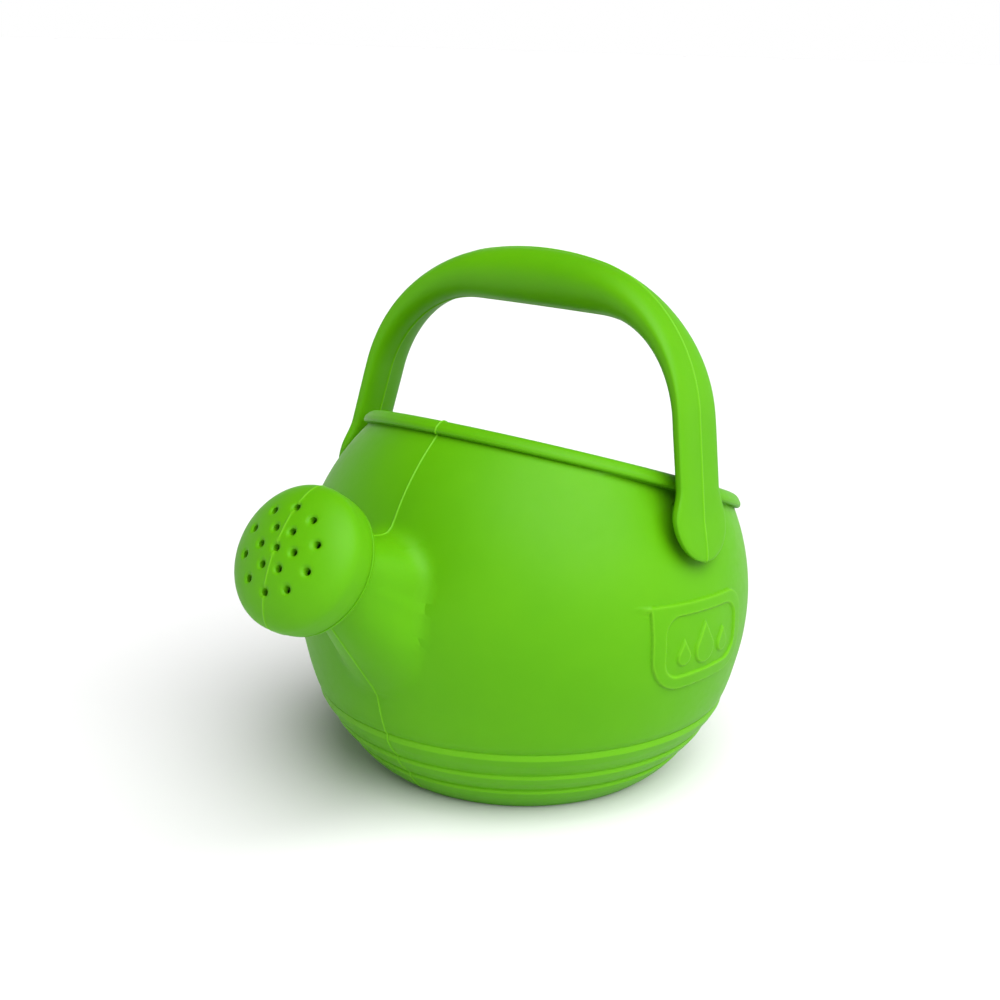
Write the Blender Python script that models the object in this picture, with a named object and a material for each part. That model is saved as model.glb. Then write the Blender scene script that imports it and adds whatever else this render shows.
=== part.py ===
"""Toy watering can in green silicone: round bowl with a slanted mouth, fat conical spout, pull-off
rose, and a carrying handle that turns on two hidden studs.

Metres, +Z up. The origin is the middle of the foot on the ground. +X points to the spout, and
+Y to the left side of somebody who looks along +X.
"""
import math

import bmesh
import bpy
from mathutils import Matrix, Vector

# ---------------------------------------------------------------- driving dimensions
BOWL_RADIUS = 0.0625          # outside of the round bowl
BOWL_CENTRE = Vector((0.0, 0.0, 0.0485))
WALL = 0.0026                 # silicone wall
FLOOR = 0.0030                # thickness of the bowl's floor
FIT_GAP = 0.0003              # free space between two pieces that touch

RIM_TILT = math.radians(19.35)  # the mouth rises towards the spout
CREASE_DEPTH = 0.0341         # bowl centre to the bead's lower edge, square to the mouth
RIM_DEPTH = 0.0379            # bowl centre to the top of the rim
BEAD_RADIUS = 0.0537          # widest part of the rolled rim
LOW_ANGLE = math.radians(-23.6)  # where the plain round wall starts, above the base steps
RIM_FRONT_ANGLE = math.asin(CREASE_DEPTH / BOWL_RADIUS) + RIM_TILT
RIM_BACK_ANGLE = math.asin(CREASE_DEPTH / BOWL_RADIUS) - RIM_TILT

BASE_STEPS = ((0.0072, 0.0079), (0.0135, 0.0144), (0.0206, 0.0221))  # lower and upper edges
STEP_PROUD = (0.0011, 0.0004)  # how far a step's lower and upper edges stand out of the bowl
FOOT_RADIUS = 0.0398
FLOOR_RADIUS = 0.0360         # flat part of the bowl's floor inside

FLARE = 0.0005                # the wall swells this much on its way down to the first step
FLARE_TOP = 0.0345            # height where the swelling starts
FLARE_BOTTOM = 0.0221

AXIS_ANGLE = math.radians(31.0)  # the spout and the rose point up this much
AXIS = Vector((math.cos(AXIS_ANGLE), 0.0, math.sin(AXIS_ANGLE)))
ACROSS = Vector((-math.sin(AXIS_ANGLE), 0.0, math.cos(AXIS_ANGLE)))
SIDE = Vector((0.0, 1.0, 0.0))
FACE_POINT = Vector((0.0950, 0.0, 0.0815))  # middle of the rose's face, on the spout's axis
CONE_SLOPE = math.tan(math.radians(22.7))
CONE_SLIM = 0.28              # the cone's flanks are this much slimmer than its back and keel
FILLET_BELOW = 0.0012         # how softly the spout runs into the bowl, below and above
FILLET_ABOVE = 0.0030
FILLET_SPREAD = 0.0160
SHOULDER = 0.0155             # distances along the axis are measured back from the face point
SPIGOT_END = 0.0090
SPIGOT_RADIUS = 0.0056
BORE_RADIUS = 0.0042

ROSE_RADIUS = 0.0181
ROSE_DOME = 0.0088
ROSE_DEPTH = 0.0152
ROSE_WALL = 0.0020
SOCKET_RADIUS = SPIGOT_RADIUS + FIT_GAP
SOCKET_WALL = 0.0022
HOLE_RADIUS = 0.0009
HOLE_RINGS = ((0, 0.0, 1, 0.0), (1, 0.0052, 6, 30.0), (2, 0.0104, 10, 0.0))

PIVOT = Vector((0.0030, 0.0, 0.0794))
HANDLE_LEAN = math.radians(-7.6)  # the handle stands a little towards the back
DIMPLE_DEPTH = 0.0026         # the bowl's side is pressed in under each tab
DIMPLE_WIDTH = 0.0150
TAB_HALF_WIDTH = 0.0105       # round end of the strap, across and below the pivot
TAB_DROP = 0.0101
TAB_NECK = 0.0075             # height above the pivot where the tab has run out into the leg
TAB_TILT_OUTSIDE = 0.29       # outward slope of the tab below the pivot, on its two faces
TAB_TILT_INSIDE = 0.31
LEG_HALF_WIDTH = 0.0082
GRIP_HALF_WIDTH = 0.0072
LEG_TOE = 0.08                # the legs' front edges are turned in, to follow the round bowl
OUTER_FOOT = 0.0585           # from the middle plane to the strap's two faces, at the pivot
INNER_FOOT = 0.0548
OUTER_SLOPE = math.radians(11.4)   # inward lean of the legs' two faces
INNER_SLOPE = math.radians(12.2)
OUTER_BEND = 0.0436           # radius of the shoulder between the leg and the grip
INNER_BEND = 0.0305
OUTER_CROWN = 0.0985          # radius of the grip's shallow arch
INNER_CROWN = 2.3000
HANDLE_TOP = 0.0624           # heights of the grip over the pivot, square to the pivot's axis
GRIP_UNDERSIDE = 0.0474
TAB_SPLIT = 0.30              # share of the strap's thickness outside its widest line
OUTER_POWER = 3.1             # how square the strap's outer and inner edges are
INNER_POWER = 3.2
GRIP_POWER = 2.0              # the grip itself is oval

BOSS_FACE = 0.0436            # flat inside each side of the bowl, for the stud's head
BOSS_RADIUS = 0.0070
WALL_HOLE_END = 0.0600        # the stud's hole is cut from the boss out to here
POCKET_START = 0.0500         # the pocket in the tab is cut from here outwards
STUD_HEAD_RADIUS = 0.0060
STUD_HEAD_THICKNESS = 0.0017
STUD_RADIUS = 0.0030
STUD_DISC_RADIUS = 0.0040
STUD_DISC = (0.0560, 0.0569)  # from the middle plane to the two faces of the disc in the tab

PLAQUE_LEFT = math.radians(68.0)   # azimuths and latitudes of the plaque on the bowl's side
PLAQUE_RIGHT = math.radians(102.0)
PLAQUE_BOTTOM = math.radians(-9.8)
PLAQUE_TOP = math.radians(11.6)
PLAQUE_CORNER = math.radians(6.0)
PLAQUE_HEIGHT = 0.0008

AZIMUTH_STEPS = 48
WALL_STEPS = 14
SPOUT_COLUMNS = 3             # grid columns each side of the middle that the spout replaces
SPOUT_ROWS = (2, 12)          # grid rows that the spout replaces
SPOUT_STEPS = 7

GREEN = (0.090, 0.340, 0.002, 1.0)
GREEN_DARK = (0.070, 0.300, 0.002, 1.0)


# ---------------------------------------------------------------- small tools
def clear_scene():
    for item in list(bpy.data.objects):
        bpy.data.objects.remove(item, do_unlink=True)


def silicone(name, colour):
    material = bpy.data.materials.new(name)
    material.use_nodes = True
    shader = material.node_tree.nodes["Principled BSDF"]
    shader.inputs["Base Color"].default_value = colour
    shader.inputs["Roughness"].default_value = 0.5
    shader.inputs["Metallic"].default_value = 0.0
    return material


def add_object(name, bm, material):
    bmesh.ops.recalc_face_normals(bm, faces=bm.faces)
    mesh = bpy.data.meshes.new(name)
    bm.to_mesh(mesh)
    bm.free()
    mesh.shade_smooth()
    mesh.set_sharp_from_angle(angle=math.radians(40.0))
    mesh.materials.append(material)
    item = bpy.data.objects.new(name, mesh)
    bpy.context.scene.collection.objects.link(item)
    return item


def add_cutter(name, bm):
    item = add_object(name, bm, bpy.data.materials["silicone_green"])
    item.hide_render = True
    item.display_type = "WIRE"
    return item


def boolean(item, cutter, operation):
    modifier = item.modifiers.new(cutter.name, "BOOLEAN")
    modifier.operation = operation
    modifier.solver = "EXACT"
    modifier.object = cutter


def smoothstep(value):
    value = min(max(value, 0.0), 1.0)
    return value * value * (3.0 - 2.0 * value)


def mix(a, b, t):
    return a + (b - a) * t


def smooth_min(a, b, width):
    overlap = max(width - abs(a - b), 0.0) / width
    return min(a, b) - overlap * overlap * width * 0.25


def bridge(bm, ring_a, ring_b):
    """Quads between two rings with the same number of vertices."""
    count = len(ring_a)
    for i in range(count):
        j = (i + 1) % count
        bm.faces.new((ring_a[i], ring_a[j], ring_b[j], ring_b[i]))


def cap(bm, ring, centre):
    for i, vertex in enumerate(ring):
        bm.faces.new((vertex, ring[(i + 1) % len(ring)], centre))


def turned(profile, origin, axis, across, steps):
    """A closed turned solid. The profile is a closed run of (distance along the axis, radius)."""
    bm = bmesh.new()
    side = axis.cross(across)
    rings = []
    for along, radius in profile:
        if radius == 0.0:
            rings.append([bm.verts.new(origin + axis * along)])
            continue
        ring = []
        for i in range(steps):
            angle = 2.0 * math.pi * i / steps
            spoke = across * math.cos(angle) + side * math.sin(angle)
            ring.append(bm.verts.new(origin + axis * along + spoke * radius))
        rings.append(ring)
    pairs = list(zip(rings, rings[1:]))
    if len(rings[0]) > 1:
        pairs.append((rings[-1], rings[0]))
    for ring_a, ring_b in pairs:
        if len(ring_a) == 1:
            cap(bm, ring_b, ring_a[0])
        elif len(ring_b) == 1:
            cap(bm, ring_a, ring_b[0])
        else:
            bridge(bm, ring_a, ring_b)
    return bm


# ---------------------------------------------------------------- can body
def flare(height):
    return FLARE * smoothstep((FLARE_TOP - height) / (FLARE_TOP - FLARE_BOTTOM))


def dimple(point):
    """Moves a wall point inwards near the pivots, where the tabs press on the bowl."""
    away = math.hypot(point.x - PIVOT.x, point.z - PIVOT.z) / DIMPLE_WIDTH
    push = DIMPLE_DEPTH * math.exp(-away * away)
    inward = smoothstep(abs(point.y) / BOWL_RADIUS * 2.0)
    return point - SIDE * math.copysign(push * inward, point.y)


def slimness(turn):
    """How much slimmer the cone is at a place round it: turn is 0 on its back, 1 at its keel."""
    return CONE_SLIM * smoothstep((turn - 0.12) / 0.35) * smoothstep((1.0 - turn) / 0.15)


def body_field(point, inset):
    """Signed distance to the bowl and the spout's cone, run together with a soft fillet."""
    offset = point - BOWL_CENTRE
    bowl = offset.length - (BOWL_RADIUS + flare(point.z) - inset)
    from_face = point - FACE_POINT
    back = -from_face.dot(AXIS)
    across = from_face.dot(ACROSS)
    lateral = math.hypot(across, from_face.y)
    slim = slimness(0.5 - 0.5 * across / max(lateral, 1e-6))
    reach = SHOULDER + (back - SHOULDER) * (1.0 - slim)
    cone = lateral - max(CONE_SLOPE * reach - inset, BORE_RADIUS)
    fillet = mix(FILLET_BELOW, FILLET_ABOVE, smoothstep(across / FILLET_SPREAD))
    return smooth_min(bowl, cone * math.cos(math.atan(CONE_SLOPE)), fillet)


def onto_field(point, inset):
    """Slides a point to the nearest place on the body's surface."""
    step = 0.00002
    for _ in range(6):
        value = body_field(point, inset)
        slope = Vector([(body_field(point + step * d, inset) - value) / step
                        for d in (Vector((1, 0, 0)), Vector((0, 1, 0)), Vector((0, 0, 1)))])
        point = point - slope * (value / max(slope.length_squared, 1e-6))
    return point


def tilted_ring(tilt, depth, radius):
    """A circle square to an axis through the bowl's centre that leans back by tilt."""
    normal = Vector((-math.sin(tilt), 0.0, math.cos(tilt)))
    forward = Vector((math.cos(tilt), 0.0, math.sin(tilt)))
    points = []
    for i in range(AZIMUTH_STEPS):
        angle = 2.0 * math.pi * i / AZIMUTH_STEPS
        spoke = forward * math.cos(angle) + SIDE * math.sin(angle)
        points.append(BOWL_CENTRE + normal * depth + spoke * radius)
    return points


def level_ring(height, radius):
    return tilted_ring(0.0, height - BOWL_CENTRE.z, radius)


def wall_ring(step, inset):
    """One ring of the plain round wall: level at the bottom, slanted like the mouth at the top."""
    share = step / WALL_STEPS
    front = mix(LOW_ANGLE, RIM_FRONT_ANGLE, share)
    back = mix(LOW_ANGLE, RIM_BACK_ANGLE, share)
    tilt = (front - back) / 2.0
    middle = (front + back) / 2.0
    radius = BOWL_RADIUS - inset
    points = []
    for point in tilted_ring(tilt, radius * math.sin(middle), radius * math.cos(middle)):
        spoke = (point - BOWL_CENTRE).normalized()
        points.append(dimple(BOWL_CENTRE + spoke * (radius + flare(point.z))))
    return points


def sphere_radius(height, inset):
    return math.sqrt((BOWL_RADIUS - inset) ** 2 - (height - BOWL_CENTRE.z) ** 2)


def base_rings():
    """The foot and the three steps of the base, from the bottom up: (height, radius)."""
    rings = [(0.0, FOOT_RADIUS - 0.0013), (0.0, FOOT_RADIUS), (0.0006, FOOT_RADIUS + 0.0013)]
    for low, high in BASE_STEPS:
        edge = sphere_radius(low, 0.0) + STEP_PROUD[0]
        rings.append((low, edge))
        rings.append((high, max(edge, sphere_radius(high, 0.0) + STEP_PROUD[1])))
    return [level_ring(height, radius) for height, radius in rings]


def bead_rings():
    """The rolled rim, from its lower edge outside, over the top, to the inside of the mouth."""
    profile = (
        (CREASE_DEPTH + 0.0004, 0.0531), (CREASE_DEPTH + 0.0010, BEAD_RADIUS),
        (CREASE_DEPTH + 0.0019, BEAD_RADIUS - 0.0002), (RIM_DEPTH - 0.0004, 0.0520),
        (RIM_DEPTH, 0.0506), (RIM_DEPTH - 0.0002, 0.0494), (RIM_DEPTH - 0.0012, 0.0487),
    )
    return [tilted_ring(RIM_TILT, depth, radius) for depth, radius in profile]


def inner_floor_rings():
    heights = (0.0150, 0.0085)
    rings = [level_ring(z, sphere_radius(z, WALL)) for z in heights]
    rings.append(level_ring(FLOOR + 0.0012, FLOOR_RADIUS + 0.0025))
    rings.append(level_ring(FLOOR, FLOOR_RADIUS))
    return rings


def spout_window():
    """Grid places round the opening that the spout grows from, as (row, column) in order."""
    low, high = SPOUT_ROWS
    columns = range(-SPOUT_COLUMNS, SPOUT_COLUMNS + 1)
    window = [(low, c) for c in columns]
    window += [(r, SPOUT_COLUMNS) for r in range(low + 1, high)]
    window += [(high, c) for c in reversed(columns)]
    window += [(r, -SPOUT_COLUMNS) for r in range(high - 1, low, -1)]
    return window


def in_window(row, column):
    low, high = SPOUT_ROWS
    near = column if column < AZIMUTH_STEPS // 2 else column - AZIMUTH_STEPS
    return low <= row < high and -SPOUT_COLUMNS <= near < SPOUT_COLUMNS


def axis_point(back, radius, angle):
    spoke = ACROSS * math.cos(angle) + SIDE * math.sin(angle)
    return FACE_POINT - AXIS * back + spoke * radius


def spout_rings(window_points, inset, neck_back):
    """Rings from the window in the bowl's wall to the neck, all on the filleted surface."""
    rings = []
    for step in range(1, SPOUT_STEPS + 1):
        share = step / SPOUT_STEPS
        ring = []
        for start in window_points:
            from_face = start - FACE_POINT
            angle = math.atan2(from_face.y, from_face.dot(ACROSS))
            neck_radius = max(CONE_SLOPE * neck_back - inset, BORE_RADIUS)
            neck = axis_point(neck_back, neck_radius, angle)
            point = start.lerp(neck, share)
            ring.append(neck if step == SPOUT_STEPS else onto_field(point, inset))
        rings.append(ring)
    return rings


def ring_at(window_points, back, radius):
    ring = []
    for start in window_points:
        from_face = start - FACE_POINT
        ring.append(axis_point(back, radius, math.atan2(from_face.y, from_face.dot(ACROSS))))
    return ring


def body_shell():
    bm = bmesh.new()
    outer_wall = [wall_ring(step, 0.0) for step in range(WALL_STEPS + 1)]
    inner_wall = [wall_ring(step, WALL) for step in range(WALL_STEPS + 1)]
    base = base_rings()
    bead = bead_rings()
    floor = inner_floor_rings()
    rings = base + outer_wall + bead + inner_wall[::-1] + floor
    rows = [[bm.verts.new(point) for point in ring] for ring in rings]
    outer_start = len(base)
    inner_start = outer_start + len(outer_wall) + len(bead)
    for index in range(len(rows) - 1):
        for column in range(AZIMUTH_STEPS):
            outer_row = index - outer_start
            inner_row = inner_start + WALL_STEPS - 1 - index
            if in_window(outer_row, column) or in_window(inner_row, column):
                continue
            after = (column + 1) % AZIMUTH_STEPS
            bm.faces.new((rows[index][column], rows[index][after],
                          rows[index + 1][after], rows[index + 1][column]))
    cap(bm, rows[0], bm.verts.new((0.0, 0.0, 0.0)))
    cap(bm, rows[-1], bm.verts.new((0.0, 0.0, FLOOR)))
    window = spout_window()
    outside = [rows[outer_start + r][c % AZIMUTH_STEPS] for r, c in window]
    inside = [rows[inner_start + WALL_STEPS - r][c % AZIMUTH_STEPS] for r, c in window]
    outside_points = [v.co.copy() for v in outside]
    inside_points = [v.co.copy() for v in inside]
    tube = spout_rings(outside_points, 0.0, SHOULDER)
    tube.append(ring_at(outside_points, SHOULDER, SPIGOT_RADIUS))
    tube.append(ring_at(outside_points, SPIGOT_END, SPIGOT_RADIUS))
    bore = spout_rings(inside_points, WALL, SHOULDER)
    bore.append(ring_at(inside_points, SPIGOT_END, BORE_RADIUS))
    loops = [outside] + [[bm.verts.new(p) for p in ring] for ring in tube]
    loops += [[bm.verts.new(p) for p in ring] for ring in bore[::-1]] + [inside]
    for ring_a, ring_b in zip(loops, loops[1:]):
        bridge(bm, ring_a, ring_b)
    return bm


def plaque_outline():
    """Rounded rectangle on the bowl's side, as (azimuth, latitude)."""
    corners = (
        (PLAQUE_RIGHT, PLAQUE_TOP, 0.0), (PLAQUE_LEFT, PLAQUE_TOP, 90.0),
        (PLAQUE_LEFT, PLAQUE_BOTTOM, 180.0), (PLAQUE_RIGHT, PLAQUE_BOTTOM, 270.0),
    )
    centre = Vector(((PLAQUE_LEFT + PLAQUE_RIGHT) / 2.0, (PLAQUE_TOP + PLAQUE_BOTTOM) / 2.0))
    points = []
    for azimuth, latitude, start in corners:
        middle = Vector((azimuth - math.copysign(PLAQUE_CORNER, azimuth - centre.x),
                         latitude - math.copysign(PLAQUE_CORNER, latitude - centre.y)))
        for i in range(5):
            angle = math.radians(start + 22.5 * i)
            points.append(middle + PLAQUE_CORNER * Vector((math.cos(angle), math.sin(angle))))
    return points, centre


def wall_point(azimuth, latitude, proud):
    """A point over the bowl's wall, proud of it by the given height."""
    spoke = Vector((math.cos(latitude) * math.cos(azimuth),
                    math.cos(latitude) * math.sin(azimuth), math.sin(latitude)))
    height = BOWL_CENTRE.z + BOWL_RADIUS * spoke.z
    return dimple(BOWL_CENTRE + spoke * (BOWL_RADIUS + flare(height) + proud))


def plaque():
    """A thin curved plate that is rooted in the bowl's wall."""
    outline, centre = plaque_outline()
    bm = bmesh.new()
    layers = []
    for proud in (-WALL * 0.5, PLAQUE_HEIGHT):
        rings = []
        for share in (1.0, 0.66, 0.33):
            ring = []
            for place in outline:
                azimuth, latitude = centre.lerp(place, share)
                ring.append(bm.verts.new(wall_point(azimuth, latitude, proud)))
            rings.append(ring)
        for ring_a, ring_b in zip(rings, rings[1:]):
            bridge(bm, ring_a, ring_b)
        cap(bm, rings[-1], bm.verts.new(wall_point(centre.x, centre.y, proud)))
        layers.append(rings[0])
    bridge(bm, layers[0], layers[1])
    return bm


def wall_middle(x, z):
    """Distance from the middle plane to the middle of the bowl's side wall at that place."""
    radius = BOWL_RADIUS - WALL / 2.0
    side = math.sqrt(radius ** 2 - x ** 2 - (z - BOWL_CENTRE.z) ** 2)
    return dimple(Vector((x, side, z))).y


def boss_pad(sign):
    """Round pad inside the bowl at a pivot: flat in front, rooted in the wall behind."""
    steps = 20
    bm = bmesh.new()
    rings = []
    for share, is_front in ((1.0, True), (1.0, False), (0.66, False), (0.33, False)):
        ring = []
        for i in range(steps):
            angle = 2.0 * math.pi * i / steps
            x = PIVOT.x + BOSS_RADIUS * share * math.cos(angle)
            z = PIVOT.z + BOSS_RADIUS * share * math.sin(angle)
            ring.append(bm.verts.new((x, sign * (BOSS_FACE if is_front else wall_middle(x, z)), z)))
        rings.append(ring)
    for ring_a, ring_b in zip(rings, rings[1:]):
        bridge(bm, ring_a, ring_b)
    bm.faces.new(rings[0])
    cap(bm, rings[-1], bm.verts.new((PIVOT.x, sign * wall_middle(PIVOT.x, PIVOT.z), PIVOT.z)))
    return bm


def make_body(material):
    body = add_object("can_body", body_shell(), material)
    boolean(body, add_cutter("plaque_plate", plaque()), "UNION")
    for name, sign in (("left", 1.0), ("right", -1.0)):
        outward = SIDE * sign
        boolean(body, add_cutter("boss_" + name, boss_pad(sign)), "UNION")
        bore = turned(((BOSS_FACE - 0.002, 0.0), (BOSS_FACE - 0.002, STUD_RADIUS + FIT_GAP),
                       (WALL_HOLE_END, STUD_RADIUS + FIT_GAP), (WALL_HOLE_END, 0.0)),
                      PIVOT, outward, Vector((1, 0, 0)), 16)
        boolean(body, add_cutter("wall_hole_" + name, bore), "DIFFERENCE")
    return body


# ---------------------------------------------------------------- rose
def quarter(centre_back, depth, radius, start, end, count):
    """Part of an ellipse in the turned profile, angles measured from the axis."""
    points = []
    for i in range(count):
        angle = math.radians(mix(start, end, i / (count - 1)))
        points.append((centre_back - depth * math.cos(angle), radius * math.sin(angle)))
    return points


def rose_profile():
    inner_radius = ROSE_RADIUS - ROSE_WALL
    back_inside = ROSE_DEPTH - ROSE_WALL
    outer = [(0.0, 0.0)] + quarter(ROSE_DOME, ROSE_DOME, ROSE_RADIUS, 12, 90, 9)
    lip = [(ROSE_DEPTH - 0.0012, ROSE_RADIUS - 0.0003), (ROSE_DEPTH - 0.0003, ROSE_RADIUS - 0.0008),
           (ROSE_DEPTH, ROSE_RADIUS - 0.0016)]
    socket = [(ROSE_DEPTH, SOCKET_RADIUS), (SPIGOT_END - 0.0006, SOCKET_RADIUS),
              (SPIGOT_END - 0.0006, SOCKET_RADIUS + SOCKET_WALL),
              (back_inside, SOCKET_RADIUS + SOCKET_WALL)]
    corner = [(back_inside, inner_radius - 0.0012), (back_inside - 0.0012, inner_radius)]
    depth = ROSE_DOME - ROSE_WALL
    dome = quarter(ROSE_DOME, depth, inner_radius, 90, 15, 6)
    return outer + lip + socket + corner + dome + [(ROSE_WALL, 0.0)]


def make_rose(material):
    bm = turned(rose_profile(), FACE_POINT, -AXIS, ACROSS, 36)
    rose = add_object("rose", bm, material)
    for ring, radius, count, start in HOLE_RINGS:
        cutters = bmesh.new()
        for i in range(count):
            angle = math.radians(start + 360.0 * i / count)
            spoke = ACROSS * math.cos(angle) + SIDE * math.sin(angle)
            centre = FACE_POINT + spoke * radius - AXIS * 0.003
            turn = AXIS.to_track_quat("Z", "Y").to_matrix().to_4x4()
            bmesh.ops.create_cone(cutters, cap_ends=True, segments=8, radius1=HOLE_RADIUS,
                                  radius2=HOLE_RADIUS, depth=0.012,
                                  matrix=Matrix.Translation(centre) @ turn)
        boolean(rose, add_cutter("rose_holes_%d" % ring, cutters), "DIFFERENCE")
    return rose


# ---------------------------------------------------------------- handle
def half_arch(foot, slope, bend, crown, top):
    """One side of the arch in its own plane: a leaning line, a bend and a shallow crown.

    foot is the line's (width, height), slope its inward lean, bend and crown are radii, and top
    is the height that the crown reaches in the middle. Returns a function of 0 to 1.
    """
    start = Vector(foot)
    upward = Vector((-math.sin(slope), math.cos(slope)))
    inward = Vector((-math.cos(slope), -math.sin(slope)))
    crown_centre = Vector((0.0, top - crown))
    reach = start + inward * bend - crown_centre
    along = reach.dot(upward)
    run = -along + math.sqrt(along * along - reach.length_squared + (crown - bend) ** 2)
    bend_centre = start + upward * run + inward * bend
    bend_start = math.atan2(-inward.y, -inward.x)
    spread = bend_centre - crown_centre
    bend_end = math.atan2(spread.y, spread.x)

    def place(share):
        if share <= 0.35:
            return start + upward * (run * share / 0.35)
        if share <= 0.75:
            angle = mix(bend_start, bend_end, (share - 0.35) / 0.40)
            return bend_centre + bend * Vector((math.cos(angle), math.sin(angle)))
        angle = mix(bend_end, math.pi / 2.0, (share - 0.75) / 0.25)
        return crown_centre + crown * Vector((math.cos(angle), math.sin(angle)))

    return place


OUTER_LINE = half_arch((OUTER_FOOT, 0.0), OUTER_SLOPE, OUTER_BEND, OUTER_CROWN, HANDLE_TOP)
INNER_LINE = half_arch((INNER_FOOT, 0.0), INNER_SLOPE, INNER_BEND, INNER_CROWN, GRIP_UNDERSIDE)


def section(outer, inner, half_width, split, outer_power, inner_power, toe, count):
    """Cross-section of the strap between its outer and its inner line."""
    middle = inner.lerp(outer, 1.0 - split)
    points = []
    for i in range(count):
        angle = 2.0 * math.pi * i / count
        c, s = math.cos(angle), math.sin(angle)
        power = outer_power if s >= 0.0 else inner_power
        across = math.copysign(abs(c) ** (2.0 / power), c) * half_width
        rise = abs(s) ** (2.0 / power)
        line = middle.lerp(outer if s >= 0.0 else inner, rise)
        points.append((across, line.x - across * toe, line.y))
    return points


def tab_sections(count):
    """The round end below the pivot, from its tip upwards. Its edge is rounded all the way."""
    rows = []
    for degrees in (10.0, 22.0, 38.0, 56.0, 74.0):
        a = math.radians(degrees)
        drop = -TAB_DROP * math.cos(a)
        outer = Vector((OUTER_FOOT - drop * TAB_TILT_OUTSIDE, drop))
        inner = Vector((INNER_FOOT - drop * TAB_TILT_INSIDE, drop))
        middle = inner.lerp(outer, 1.0 - TAB_SPLIT)
        row = []
        for i in range(count):
            angle = 2.0 * math.pi * i / count
            c, s = math.cos(angle), math.sin(angle)
            power = OUTER_POWER if s >= 0.0 else INNER_POWER
            part = math.copysign(abs(c) ** (2.0 / power), c) * math.sin(a)
            reach = min(math.hypot(part, math.cos(a)), 1.0)
            rise = (1.0 - reach ** power) ** (1.0 / power)
            line = middle.lerp(outer if s >= 0.0 else inner, rise)
            across = part * TAB_HALF_WIDTH
            row.append((across, line.x - across * LEG_TOE, line.y))
        rows.append(row)
    return rows


def arch_sections(steps, count):
    """From the pivot up to the middle of the grip."""
    rows = []
    for i in range(steps + 1):
        share = i / steps
        outer, inner = OUTER_LINE(share), INNER_LINE(share)
        tab = 1.0 - smoothstep(inner.y / TAB_NECK)
        grip = smoothstep((share - 0.30) / 0.45)
        half_width = mix(mix(LEG_HALF_WIDTH, TAB_HALF_WIDTH, tab), GRIP_HALF_WIDTH, grip)
        split = mix(TAB_SPLIT, 0.50, grip)
        rows.append(section(outer, inner, half_width, split, mix(OUTER_POWER, GRIP_POWER, grip),
                            mix(INNER_POWER, GRIP_POWER, grip), LEG_TOE * (1.0 - grip), count))
    return rows


def handle_mesh():
    count = 16
    half = tab_sections(count) + arch_sections(22, count)
    left = [[Vector(p) for p in row] for row in half]
    right = [[Vector((p.x, -p.y, p.z)) for p in row] for row in left[-2::-1]]
    bm = bmesh.new()
    rings = [[bm.verts.new(p) for p in row] for row in left + right]
    for ring_a, ring_b in zip(rings, rings[1:]):
        bridge(bm, ring_a, ring_b)
    bm.faces.new(rings[0])
    bm.faces.new(rings[-1])
    bmesh.ops.transform(bm, matrix=Matrix.Rotation(HANDLE_LEAN, 4, "Y"), verts=bm.verts)
    return bm


def make_handle(material):
    handle = add_object("handle", handle_mesh(), material)
    handle.location = PIVOT
    for name, sign in (("left", 1.0), ("right", -1.0)):
        shank = STUD_RADIUS + FIT_GAP
        disc = STUD_DISC_RADIUS + FIT_GAP
        start, end = STUD_DISC[0] - FIT_GAP, STUD_DISC[1] + FIT_GAP
        pocket = turned(((POCKET_START, 0.0), (POCKET_START, shank), (start, shank),
                         (start, disc), (end, disc), (end, 0.0)),
                        PIVOT, SIDE * sign, Vector((1, 0, 0)), 20)
        boolean(handle, add_cutter("stud_pocket_" + name, pocket), "DIFFERENCE")
    return handle


# ---------------------------------------------------------------- studs
def make_stud(name, sign, material):
    """Head inside the bowl, shank through the wall, disc held inside the handle's tab."""
    head = BOSS_FACE - FIT_GAP
    profile = (
        (head - STUD_HEAD_THICKNESS, 0.0),
        (head - STUD_HEAD_THICKNESS, STUD_HEAD_RADIUS - 0.0006),
        (head - STUD_HEAD_THICKNESS + 0.0006, STUD_HEAD_RADIUS),
        (head, STUD_HEAD_RADIUS), (head, STUD_RADIUS), (STUD_DISC[0], STUD_RADIUS),
        (STUD_DISC[0], STUD_DISC_RADIUS), (STUD_DISC[1], STUD_DISC_RADIUS), (STUD_DISC[1], 0.0),
    )
    bm = turned(profile, Vector((0, 0, 0)), SIDE * sign, Vector((1, 0, 0)), 20)
    stud = add_object(name, bm, material)
    stud.location = PIVOT
    return stud


def main():
    clear_scene()
    green = silicone("silicone_green", GREEN)
    dark = silicone("stud_green", GREEN_DARK)
    make_body(green)
    make_rose(green)
    make_handle(green)
    make_stud("pivot_stud_left", 1.0, dark)
    make_stud("pivot_stud_right", -1.0, dark)


main()
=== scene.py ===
"""The looks of the child's watering can: one bright green, satin silicone moulding for each piece.

Metres, +Z up, +X the way the spout points, the origin in the middle of the foot.
"""
import math

import bmesh
import bpy
from mathutils import Matrix, Vector, geometry


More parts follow.
